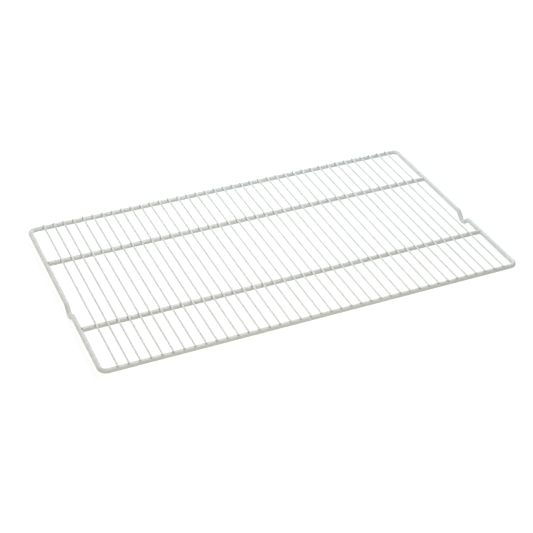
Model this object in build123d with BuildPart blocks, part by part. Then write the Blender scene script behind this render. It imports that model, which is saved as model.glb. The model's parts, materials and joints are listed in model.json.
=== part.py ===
from build123d import *
from math import cos, floor, radians, tan
import os

# Refrigerator wire shelf: a thick rim wire bent into a closed frame, two thick cross bars welded
# between its side rails, and a deck of thin parallel wires welded on top of the rails and bars.
# Sizes are in millimetres and include the coating. +X runs along the front rail, +Y from front to
# back and +Z up. The origin lies under the middle of the shelf, level with the dips' undersides.

# Overall size, to the outside of the rim wire
SHELF_WIDTH = 656.5
SHELF_DEPTH = 386.5

# Rim: wire diameter, and bend radius of its four corners on the wire's centre line
RIM_WIRE = 7.1
CORNER_BEND = 10.0

# Cross bars: wire diameter, distance between the two centre lines, and how far their square-cut
# ends are pressed into the side rails by the weld
BAR_WIRE = 7.1
BAR_SPACING = 177.6
BAR_WELD_DEPTH = 0.4

# Locating dips, one in each side rail: distance of the middle behind the front cross bar, drop of
# the centre line, slope of the two legs in degrees, and bend radius of the mouth and the round floor
DIP_BEHIND_BAR = 52.0
DIP_DROP = 10.7
DIP_SLOPE = 42.0
DIP_BEND = 9.0

# Deck wires: diameter, spacing, least distance of the outer ones from the corner bends, and how far
# the sheared ends lie past the centre lines of the front and back rails
DECK_WIRE = 2.5
DECK_PITCH = 15.875
DECK_CORNER_CLEARANCE = 9.0
DECK_FRONT_LAP = 2.2
DECK_BACK_LAP = 0.4

# Rail centre lines, with the undersides of the dips at the origin's height
side_rail_x = (SHELF_WIDTH - RIM_WIRE) / 2
back_rail_y = (SHELF_DEPTH - RIM_WIRE) / 2
front_rail_y = -back_rail_y
dip_floor_z = RIM_WIRE / 2
rail_z = dip_floor_z + DIP_DROP
rail_top_z = rail_z + RIM_WIRE / 2

# Cross bars lie in the plane of the rim, with their tops level with the rails' tops
front_bar_y = -BAR_SPACING / 2
rear_bar_y = BAR_SPACING / 2
bar_z = rail_top_z - BAR_WIRE / 2
bar_length = 2 * side_rail_x - RIM_WIRE + 2 * BAR_WELD_DEPTH

# Corner points of a dip: its two legs, drawn on, cross at an apex below the round floor
dip_y = front_bar_y + DIP_BEHIND_BAR
dip_slope = radians(DIP_SLOPE)
dip_apex_z = dip_floor_z - DIP_BEND * (1 / cos(dip_slope) - 1)
dip_mouth_half = (rail_z - dip_apex_z) / tan(dip_slope)

# Deck wires lie on the tops of the rails and bars, centred across the shelf, as many as fit between
# the corner bends
deck_front_y = front_rail_y - DECK_FRONT_LAP
deck_length = back_rail_y + DECK_BACK_LAP - deck_front_y
deck_z = rail_top_z + DECK_WIRE / 2
deck_room = 2 * (side_rail_x - CORNER_BEND - DECK_CORNER_CLEARANCE)
deck_count = 1 + floor(deck_room / DECK_PITCH)
first_wire_x = -(deck_count - 1) * DECK_PITCH / 2


def dip_corners(rail_x):
    """Corner points of the dip in the side rail at rail_x, from front to back."""
    return [
        (rail_x, dip_y - dip_mouth_half, rail_z),
        (rail_x, dip_y, dip_apex_z),
        (rail_x, dip_y + dip_mouth_half, rail_z),
    ]


os.makedirs("parts", exist_ok=True)

# Frame: one round wire along a closed path of straight runs and tangent bends
rim_corners = [
    (-side_rail_x, front_rail_y, rail_z),
    (side_rail_x, front_rail_y, rail_z),
    *dip_corners(side_rail_x),
    (side_rail_x, back_rail_y, rail_z),
    (-side_rail_x, back_rail_y, rail_z),
    *reversed(dip_corners(-side_rail_x)),
]
half_rim_bends = [CORNER_BEND] * 2 + [DIP_BEND] * 3
with BuildPart() as frame:
    with BuildLine() as rim_path:
        FilletPolyline(*rim_corners, radius=half_rim_bends * 2, close=True)
    with BuildSketch(Plane(origin=rim_path.line @ 0, z_dir=rim_path.line % 0)):
        Circle(RIM_WIRE / 2)
    sweep(path=rim_path.line)
frame.part.label = "frame"
export_step(frame.part, "parts/frame.step")

# Cross bars: straight wires cut square, butted and welded against the inside of the side rails,
# which press a hollow into each end
for label, bar_y in (("front_cross_bar", front_bar_y), ("rear_cross_bar", rear_bar_y)):
    with BuildPart() as cross_bar:
        with BuildSketch(Plane(origin=(-bar_length / 2, bar_y, bar_z), z_dir=(1, 0, 0))):
            Circle(BAR_WIRE / 2)
        extrude(amount=bar_length)
        add(frame.part, mode=Mode.SUBTRACT)
    cross_bar.part.label = label
    export_step(cross_bar.part, f"parts/{label}.step")

# Deck: straight thin wires from the front rail over both cross bars to the back rail
for wire_index in range(deck_count):
    label = f"deck_wire_{wire_index + 1:02d}"
    wire_start = (first_wire_x + wire_index * DECK_PITCH, deck_front_y, deck_z)
    with BuildPart() as deck_wire:
        with BuildSketch(Plane(origin=wire_start, z_dir=(0, 1, 0))):
            Circle(DECK_WIRE / 2)
        extrude(amount=deck_length)
    deck_wire.part.label = label
    export_step(deck_wire.part, f"parts/{label}.step")
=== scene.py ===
import bmesh
import bpy
import json
from math import acos, asin, ceil, cos, pi, radians, sin, sqrt, tan
from mathutils import Matrix, Vector


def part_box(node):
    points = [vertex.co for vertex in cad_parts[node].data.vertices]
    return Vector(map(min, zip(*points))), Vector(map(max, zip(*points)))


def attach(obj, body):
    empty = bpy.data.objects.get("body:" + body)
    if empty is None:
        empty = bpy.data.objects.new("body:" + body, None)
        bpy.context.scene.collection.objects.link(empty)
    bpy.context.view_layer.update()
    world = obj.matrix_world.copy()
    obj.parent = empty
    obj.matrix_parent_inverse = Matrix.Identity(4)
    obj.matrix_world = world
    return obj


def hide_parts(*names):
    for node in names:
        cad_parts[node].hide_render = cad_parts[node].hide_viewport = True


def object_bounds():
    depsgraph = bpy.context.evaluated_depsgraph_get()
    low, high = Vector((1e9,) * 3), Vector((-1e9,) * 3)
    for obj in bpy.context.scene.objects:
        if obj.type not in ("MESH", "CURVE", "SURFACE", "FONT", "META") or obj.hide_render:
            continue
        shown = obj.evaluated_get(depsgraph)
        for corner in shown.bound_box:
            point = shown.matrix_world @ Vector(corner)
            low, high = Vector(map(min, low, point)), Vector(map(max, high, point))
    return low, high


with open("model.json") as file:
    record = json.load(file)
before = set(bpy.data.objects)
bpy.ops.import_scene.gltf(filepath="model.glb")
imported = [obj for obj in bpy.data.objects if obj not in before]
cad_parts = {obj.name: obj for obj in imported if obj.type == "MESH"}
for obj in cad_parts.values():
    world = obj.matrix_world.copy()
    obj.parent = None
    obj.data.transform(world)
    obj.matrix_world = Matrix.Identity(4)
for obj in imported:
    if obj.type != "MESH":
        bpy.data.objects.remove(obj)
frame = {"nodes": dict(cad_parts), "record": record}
cad_low, cad_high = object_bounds()


# Rim wire: quarter-inch mild steel wire, bent into one closed rectangle with a locating dip in each
# side rail, its two ends butt-welded. It is powder coated together with all that is welded to it.
MM = 0.001
UP = Vector((0, 0, 1))
RIM_WIRE = 7.1 * MM
CORNER_BEND = 10.0 * MM
DIP_SLOPE = radians(42)
DIP_BEND = 9.0 * MM
THICK_WIRE_SIDES = 48
BEND_STEP = radians(5)
RUN_STEP = 20 * MM
BAKE_MAP = "OFBake"
BAND_EDGE = 0.03
BAND_FILL = 1 - 2 * BAND_EDGE


def bent_path(corners, bends):
    """Points of a closed line of straight runs and round bends, each with the line's direction there."""
    path = []
    runs = zip(corners[-1:] + corners[:-1], corners, corners[1:] + corners[:1], bends)
    for before, corner, after, bend in runs:
        way_in = (corner - before).normalized()
        way_out = (after - corner).normalized()
        turn = way_in.angle(way_out)
        axis = way_in.cross(way_out).normalized()
        start = corner - way_in * bend * tan(turn / 2)
        centre = start + axis.cross(way_in) * bend
        steps = ceil(turn / BEND_STEP)
        for step in range(steps + 1):
            swing = Matrix.Rotation(turn * step / steps, 3, axis)
            path.append((centre + swing @ (start - centre), swing @ way_in))
    divided = []
    for (here, along), (there, _) in zip(path, path[1:] + path[:1]):
        steps = ceil((there - here).length / RUN_STEP)
        divided += [(here.lerp(there, step / steps), along) for step in range(steps)]
    return divided


def wire_ring(centre, along, section):
    """Places a wire's section, given as (across, over) pairs, square to the wire."""
    across = along.cross(UP).normalized()
    over = across.cross(along)
    return [centre + across * side + over * height for side, height in section]


def round_section(radius, sides):
    """A circle as (across, over) pairs, from the underside round."""
    turns = [2 * pi * side / sides for side in range(sides)]
    return [(radius * sin(turn), -radius * cos(turn)) for turn in turns]


def skin(name, rings, closed=False):
    """Mesh over a row of rings: joined end to end if it is closed, or else capped at both ends."""
    mesh = bpy.data.meshes.new(name)
    shell = bmesh.new()
    loops = [[shell.verts.new(point) for point in ring] for ring in rings]
    pairs = list(zip(loops, loops[1:]))
    if closed:
        pairs.append((loops[-1], loops[0]))
    else:
        shell.faces.new(loops[0])
        shell.faces.new(loops[-1])
    for here, there in pairs:
        for side in range(len(here)):
            shell.faces.new((here[side - 1], here[side], there[side], there[side - 1]))
    bmesh.ops.recalc_face_normals(shell, faces=shell.faces)
    for face in shell.faces:
        face.smooth = True
    shell.to_mesh(mesh)
    shell.free()
    return mesh


def unroll(mesh, path, sides, girth):
    """Lays a closed wire's skin out flat in a stack of bands, the map that its coat can be baked on."""
    reach = [0]
    for (here, _), (there, _) in zip(path, path[1:] + path[:1]):
        reach.append(reach[-1] + (there - here).length)
    bands = round(sqrt(reach[-1] / girth))
    band_length = reach[-1] / bands + RUN_STEP
    band_start, band = 0, 0
    flat = mesh.uv_layers.new(name=BAKE_MAP).data
    for face in mesh.polygons:
        ring, side = divmod(face.index, sides)
        if reach[ring + 1] - band_start > band_length:
            band_start, band = reach[ring], band + 1
        for loop in face.loop_indices:
            vertex_ring, vertex_side = divmod(mesh.loops[loop].vertex_index, sides)
            end = ring if vertex_ring == ring else ring + 1
            along_band = (reach[end] - band_start) / band_length
            round_wire = (side + (vertex_side == side)) / sides
            flat[loop].uv = (
                BAND_EDGE + BAND_FILL * along_band,
                (band + BAND_EDGE + BAND_FILL * round_wire) / bands,
            )


def linear(code):
    """Linear colour of an sRGB hex code."""
    shares = [int(code[place:place + 2], 16) / 255 for place in (1, 3, 5)]
    return [c / 12.92 if c <= 0.04045 else ((c + 0.055) / 1.055) ** 2.4 for c in shares] + [1]


def add_node(tree, kind, inputs, **settings):
    """Adds a node with its settings, and gives its inputs their values or links."""
    node = tree.nodes.new("ShaderNode" + kind)
    for name, value in settings.items():
        setattr(node, name, value)
    for name, value in inputs.items():
        if isinstance(value, bpy.types.NodeSocket):
            tree.links.new(value, node.inputs[name])
        else:
            node.inputs[name].default_value = value
    return node


# Epoxy powder coat, sprayed on and baked: a satin off-white skin with a faint orange peel. It is a
# little greyer where it came out thin. Painted shade darkens it in the tight corners beside the welds,
# by how closely nearby surfaces close each point in.
COAT_THICK = "#DDE0DC"
COAT_THIN = "#D6D9D5"
# Painted shade: the colour, reach and strength of the darkening in the tight corners beside the welds
CORNER_PAINTED_SHADE = "#8F918D"
CORNER_SHADE_REACH = 2.5 * MM
CORNER_SHADE_FULL = 0.25
CORNER_SHADE_NONE = 0.75
COAT_PATCH = 9 * MM
PATCH_DETAIL = 3.0
PATCH_THIN = 0.35
PATCH_THICK = 0.65
ROUGHNESS_THIN = 0.36
ROUGHNESS_THICK = 0.28
ORANGE_PEEL = 1.1 * MM
PEEL_DETAIL = 2.0
PEEL_HEIGHT = 0.02 * MM
EPOXY_IOR = 1.5
powder_coat = bpy.data.materials.new("satin_powder_coat")
powder_coat.use_nodes = True
tree = powder_coat.node_tree
tree.nodes.clear()
point = add_node(tree, "NewGeometry", {}).outputs["Position"]
patch_noise = {"Vector": point, "Scale": 1 / COAT_PATCH, "Detail": PATCH_DETAIL}
patches = add_node(tree, "TexNoise", patch_noise).outputs["Fac"]
tone = add_node(tree, "ValToRGB", {"Fac": patches})
thin, thick = tone.color_ramp.elements
thin.position = PATCH_THIN
thin.color = linear(COAT_THIN)
thick.position = PATCH_THICK
thick.color = linear(COAT_THICK)
# Painted shade: the coat's colour darkens where nearby surfaces close a point in
corner_openness = add_node(tree, "AmbientOcclusion", {"Distance": CORNER_SHADE_REACH}).outputs["AO"]
unshaded_share = add_node(tree, "MapRange", {
    "Value": corner_openness,
    "From Min": CORNER_SHADE_FULL,
    "From Max": CORNER_SHADE_NONE,
})
colour = add_node(tree, "MixRGB", {
    "Fac": unshaded_share.outputs["Result"],
    "Color1": linear(CORNER_PAINTED_SHADE),
    "Color2": tone.outputs["Color"],
})
gloss = add_node(tree, "MapRange", {
    "Value": patches,
    "To Min": ROUGHNESS_THIN,
    "To Max": ROUGHNESS_THICK,
})
peel_noise = {"Vector": point, "Scale": 1 / ORANGE_PEEL, "Detail": PEEL_DETAIL}
peel = add_node(tree, "TexNoise", peel_noise).outputs["Fac"]
bump = add_node(tree, "Bump", {"Height": peel, "Distance": PEEL_HEIGHT})
coat = add_node(tree, "BsdfPrincipled", {
    "Base Color": colour.outputs["Color"],
    "Roughness": gloss.outputs["Result"],
    "IOR": EPOXY_IOR,
    "Normal": bump.outputs["Normal"],
})
add_node(tree, "OutputMaterial", {"Surface": coat.outputs["BSDF"]})


def weld_on(name, mesh, node, place=Vector()):
    """Puts a coated piece in the place of its solid."""
    piece = bpy.data.objects.new(name, mesh)
    piece.location = place
    bpy.context.scene.collection.objects.link(piece)
    if not mesh.materials:
        mesh.materials.append(powder_coat)
    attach(piece, "root")
    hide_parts(node)


rim_radius = RIM_WIRE / 2
rim_low, rim_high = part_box("frame")
side_x = rim_high.x - rim_radius
back_y = rim_high.y - rim_radius
rail_z = rim_high.z - rim_radius
dip_floor_z = rim_low.z + rim_radius
mounts = {mount["name"]: Vector(mount["pos_m"]) for mount in frame["record"]["mounts"]}
dip_y = mounts["left_locating_dip"].y
dip_apex_z = dip_floor_z - DIP_BEND * (1 / cos(DIP_SLOPE) - 1)
dip_mouth = (rail_z - dip_apex_z) / tan(DIP_SLOPE)


def dip_corners(x):
    """Corners of the dip in the side rail at x, from front to back."""
    along = [(dip_y - dip_mouth, rail_z), (dip_y, dip_apex_z), (dip_y + dip_mouth, rail_z)]
    return [Vector((x, y, z)) for y, z in along]


rim_corners = [
    Vector((-side_x, -back_y, rail_z)),
    Vector((side_x, -back_y, rail_z)),
    *dip_corners(side_x),
    Vector((side_x, back_y, rail_z)),
    Vector((-side_x, back_y, rail_z)),
    *reversed(dip_corners(-side_x)),
]
half_bends = [CORNER_BEND] * 2 + [DIP_BEND] * 3
rim_section = round_section(rim_radius, THICK_WIRE_SIDES)
rim_path = bent_path(rim_corners, half_bends * 2)
rim_rings = [wire_ring(point, along, rim_section) for point, along in rim_path]
rim_mesh = skin("rim_wire", rim_rings, closed=True)
unroll(rim_mesh, rim_path, THICK_WIRE_SIDES, pi * RIM_WIRE)
weld_on("rim_wire", rim_mesh, "frame")


# Cross bars: two straight lengths of the same wire, cut square and butt-welded to the insides of the
# side rails. The weld fills the sides of the joint and leaves a notch above and below.
CROSS_BARS = ("front_cross_bar", "rear_cross_bar")
BAR_EDGE = 0.5 * MM
BAR_WELD_FILLET = 1.2 * MM
BAR_EDGE_STEPS = 4
BAR_FILLET_STEPS = 8
# How far out to the bar's sides the notch ends and the weld is full, as shares of the radius
NOTCH_END = 0.74
WELD_FULL = 0.92


def smooth_step(low, high, value):
    """0 below low, 1 above high, and an even curve between."""
    share = min(max((value - low) / (high - low), 0), 1)
    return share * share * (3 - 2 * share)


def rounded_end(depth, radius, edge):
    """Radius of a wire with a rounded end, at a depth behind the end's face."""
    if depth >= edge:
        return radius
    return radius - edge + sqrt(edge * edge - (edge - depth) ** 2)


def bar_section(depth, weld_depth):
    """Section of a cross bar at a depth behind its end, with the weld's fillet towards the rail."""
    radius = rounded_end(depth, rim_radius, BAR_EDGE)
    section = []
    for across, over in round_section(1, THICK_WIRE_SIDES):
        rail_depth = weld_depth - rim_radius * (1 - abs(across))
        clear = min(max(depth - rail_depth, 0), BAR_WELD_FILLET)
        fillet = BAR_WELD_FILLET - sqrt(BAR_WELD_FILLET ** 2 - (BAR_WELD_FILLET - clear) ** 2)
        reach = radius + fillet * smooth_step(NOTCH_END, WELD_FULL, abs(across))
        section.append((across * reach, over * reach))
    return section


for node in CROSS_BARS:
    bar_low, bar_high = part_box(node)
    middle = (bar_low + bar_high) / 2
    weld_depth = bar_high.x - (side_x - rim_radius)
    fillet_end = weld_depth + BAR_WELD_FILLET
    depths = [BAR_EDGE * (1 - cos(pi / 2 * step / BAR_EDGE_STEPS)) for step in range(BAR_EDGE_STEPS + 1)]
    depths += [
        BAR_EDGE + (fillet_end - BAR_EDGE) * step / BAR_FILLET_STEPS
        for step in range(1, BAR_FILLET_STEPS + 1)
    ]
    left_end = [(bar_low.x + depth, depth) for depth in depths]
    right_end = [(bar_high.x - depth, depth) for depth in reversed(depths)]
    bar_rings = [
        wire_ring(Vector((x, middle.y, middle.z)), Vector((1, 0, 0)), bar_section(depth, weld_depth))
        for x, depth in left_end + right_end
    ]
    weld_on(node + "_wire", skin(node, bar_rings), node)


# Deck wires: thin straight wires side by side, sheared to length and resistance-welded on top of the
# rails and cross bars. Weld and coating run together into a small fillet at each crossing.
DECK_EDGE = 0.45 * MM
DECK_FILLET = 0.55 * MM
DECK_SINK = 0.1 * MM
DECK_WIRE_SIDES = 24
DECK_EDGE_STEPS = 4
DECK_FILLET_STEPS = 7
# How far from the middle of a crossing the fillet stays full and ends, and its flat foot's share of it
FILLET_FULL = 0.9 * MM
FILLET_GONE = 2.1 * MM
FILLET_FLAT = 0.4


def deck_section(radius, offset):
    """Section of a deck wire at an offset from a crossing, with a fillet down to what it lies on."""
    plain = round_section(radius, DECK_WIRE_SIDES)
    strength = 1 - smooth_step(FILLET_FULL, FILLET_GONE, abs(offset))
    if strength == 0:
        return plain
    drop = radius + DECK_SINK + rim_radius - sqrt(rim_radius ** 2 - offset ** 2)
    hub_over = DECK_FILLET - drop
    hub_across = sqrt((radius + DECK_FILLET) ** 2 - hub_over ** 2)
    touch = pi / 2 + asin(hub_over / (radius + DECK_FILLET))
    section = []
    for across, over in plain:
        share = acos(max(min(-over / radius, 1), -1)) / touch
        if share < 1:
            hand = 1 if across >= 0 else -1
            sweep = max(share - FILLET_FLAT, 0) / (1 - FILLET_FLAT) * (pi - touch)
            reach = min(share / FILLET_FLAT, 1) * hub_across - DECK_FILLET * sin(sweep)
            level = hub_over - DECK_FILLET * cos(sweep)
            across += strength * (hand * reach - across)
            over += strength * (level - over)
        section.append((across, over))
    return section


deck_labels = sorted(node for node in frame["nodes"] if node.startswith("deck_wire_"))
wire_low, wire_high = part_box(deck_labels[0])
deck_radius = (wire_high.z - wire_low.z) / 2
bar_ys = [sum(corner.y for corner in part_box(node)) / 2 for node in CROSS_BARS]
crossings = [-back_y, *bar_ys, back_y]
stations = set()
for step in range(DECK_EDGE_STEPS + 1):
    depth = DECK_EDGE * (1 - cos(pi / 2 * step / DECK_EDGE_STEPS))
    stations |= {wire_low.y + depth, wire_high.y - depth}
for y in crossings:
    for step in range(-DECK_FILLET_STEPS, DECK_FILLET_STEPS + 1):
        station = y + FILLET_GONE * step / DECK_FILLET_STEPS
        if wire_low.y + DECK_EDGE < station < wire_high.y - DECK_EDGE:
            stations.add(station)
deck_rings = []
for station in sorted(stations):
    offset = min((station - y for y in crossings), key=abs)
    depth = min(station - wire_low.y, wire_high.y - station)
    shrink = rounded_end(depth, deck_radius, DECK_EDGE) / deck_radius
    section = [(across * shrink, over * shrink) for across, over in deck_section(deck_radius, offset)]
    deck_rings.append(wire_ring(Vector((0, station, 0)), Vector((0, 1, 0)), section))
deck_mesh = skin("deck_wire", deck_rings)
for node in deck_labels:
    wire_low, wire_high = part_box(node)
    middle = (wire_low + wire_high) / 2
    weld_on(node + "_coated", deck_mesh, node, Vector((middle.x, 0, middle.z)))


# Studio: white paper under the shelf and even light all round, with a strip light overhead in a cool and
# a warm half, a cool soft box over the right-hand end and three low ones at the corners. The paper and
# the surround show plain white, with the shelf's faint shadow close to it.
PAPER_SIZE = 12.0
PAPER = "#EDEDED"
SURROUND = "#FFFFFF"
SURROUND_LEVEL = 0.31
PAPER_GLOW = 1.15
# How much of the lit paper shows under the shelf, and how far round the shelf that fades out
SHADOW_SHARE = 0.25
SHADOW_REACH = 0.15
SOFT_BOXES = {
    "strip_over_back": {
        "place": (0, 0.6, 0.8),
        "aim": (0, 0.6, 0),
        "size": (0.4, 0.8),
        "watts": 3.0,
        "colour": "#E4F1FF",
    },
    "strip_over_front": {
        "place": (0, -0.2, 0.8),
        "aim": (0, -0.2, 0),
        "size": (0.4, 0.8),
        "watts": 2.9,
        "colour": "#FFF9F0",
    },
    "box_back_left": {
        "place": (-1.18, 1.18, 0.37),
        "aim": (0, 0, 0),
        "size": (1, 1),
        "watts": 4.7,
        "colour": "#FFF3E6",
    },
    "box_back_right": {
        "place": (1.18, 1.18, 0.37),
        "aim": (0, 0, 0),
        "size": (1, 1),
        "watts": 8.2,
        "colour": "#DEEDFF",
    },
    "box_over_right": {
        "place": (0.85, 0.6, 0.8),
        "aim": (0.3, 0.1, 0),
        "size": (0.5, 0.5),
        "watts": 2.1,
        "colour": "#D4EAFF",
    },
    "box_front_left": {
        "place": (-1.18, -1.18, 0.37),
        "aim": (0, 0, 0),
        "size": (1, 1),
        "watts": 4.5,
        "colour": "#FFECCE",
    },
}


def seen_directly(tree):
    """1 for rays from the eye or by way of a reflection, and 0 for those that only carry light."""
    path = add_node(tree, "LightPath", {}).outputs
    either = {0: path["Is Camera Ray"], 1: path["Is Glossy Ray"]}
    mirrored = add_node(tree, "Math", either, operation="MAXIMUM").outputs["Value"]
    any_of_them = {0: mirrored, 1: path["Is Transmission Ray"]}
    return add_node(tree, "Math", any_of_them, operation="MAXIMUM").outputs["Value"]


paper_mesh = bpy.data.meshes.new("paper")
half = PAPER_SIZE / 2
paper_mesh.from_pydata(
    [(-half, -half, cad_low.z), (half, -half, cad_low.z), (half, half, cad_low.z), (-half, half, cad_low.z)],
    [],
    [(0, 1, 2, 3)],
)
paper = bpy.data.objects.new("paper", paper_mesh)
bpy.context.scene.collection.objects.link(paper)
white_paper = bpy.data.materials.new("white_paper")
white_paper.use_nodes = True
tree = white_paper.node_tree
tree.nodes.clear()
lit = add_node(tree, "BsdfDiffuse", {"Color": linear(PAPER)}).outputs["BSDF"]
glow = add_node(tree, "Emission", {"Color": linear(SURROUND), "Strength": PAPER_GLOW}).outputs["Emission"]
spot = add_node(tree, "NewGeometry", {}).outputs["Position"]
spread = add_node(tree, "VectorMath", {0: spot}, operation="ABSOLUTE").outputs["Vector"]
outside = add_node(tree, "VectorMath", {0: spread, 1: cad_high}, operation="SUBTRACT").outputs["Vector"]
beyond = add_node(tree, "VectorMath", {0: outside, 1: (0, 0, 0)}, operation="MAXIMUM").outputs["Vector"]
away = add_node(tree, "VectorMath", {0: beyond}, operation="LENGTH").outputs["Value"]
white = add_node(tree, "MapRange", {
    "Value": away,
    "From Max": SHADOW_REACH,
    "To Min": 1 - SHADOW_SHARE,
    "To Max": 1.0,
})
share = add_node(tree, "Math", {0: seen_directly(tree), 1: white.outputs["Result"]}, operation="MULTIPLY")
paper_look = add_node(tree, "MixShader", {0: share.outputs["Value"], 1: lit, 2: glow})
add_node(tree, "OutputMaterial", {"Surface": paper_look.outputs["Shader"]})
paper_mesh.materials.append(white_paper)

surround = bpy.data.worlds.new("surround")
surround.use_nodes = True
tree = surround.node_tree
tree.nodes.clear()
level = add_node(tree, "MapRange", {"Value": seen_directly(tree), "To Min": SURROUND_LEVEL, "To Max": 1.0})
sky = add_node(tree, "Background", {"Color": linear(SURROUND), "Strength": level.outputs["Result"]})
add_node(tree, "OutputWorld", {"Surface": sky.outputs["Background"]})
bpy.context.scene.world = surround

for name, box in SOFT_BOXES.items():
    lamp = bpy.data.objects.new(name, bpy.data.lights.new(name, "AREA"))
    lamp.data.shape = "RECTANGLE"
    lamp.data.size, lamp.data.size_y = box["size"]
    lamp.data.energy = box["watts"]
    lamp.data.color = linear(box["colour"])[:3]
    lamp.location = box["place"]
    lamp.rotation_euler = (Vector(box["aim"]) - lamp.location).to_track_quat("-Z", "Y").to_euler()
    bpy.context.scene.collection.objects.link(lamp)


# Camera: a short telephoto lens above the front of the shelf and to its left, looking down at about the
# shelf's middle. It is tipped a little to one side.
CAMERA_PLACE = Vector((-640.83, -1471.33, 1077.02)) * MM
CAMERA_AIM = Vector((-22.47, -46.33, 14.25)) * MM
CAMERA_TIP = radians(0.155)
CAMERA_LENS = 84.666
SENSOR_WIDTH = 36.0
camera = bpy.data.objects.new("camera", bpy.data.cameras.new("camera"))
camera.data.lens = CAMERA_LENS
camera.data.sensor_width = SENSOR_WIDTH
camera.location = CAMERA_PLACE
level_view = (CAMERA_AIM - CAMERA_PLACE).to_track_quat("-Z", "Y").to_matrix()
camera.rotation_euler = (level_view @ Matrix.Rotation(CAMERA_TIP, 3, "Z")).to_euler()
bpy.context.scene.collection.objects.link(camera)
bpy.context.scene.camera = camera
bpy.context.scene.view_settings.view_transform = "Standard"
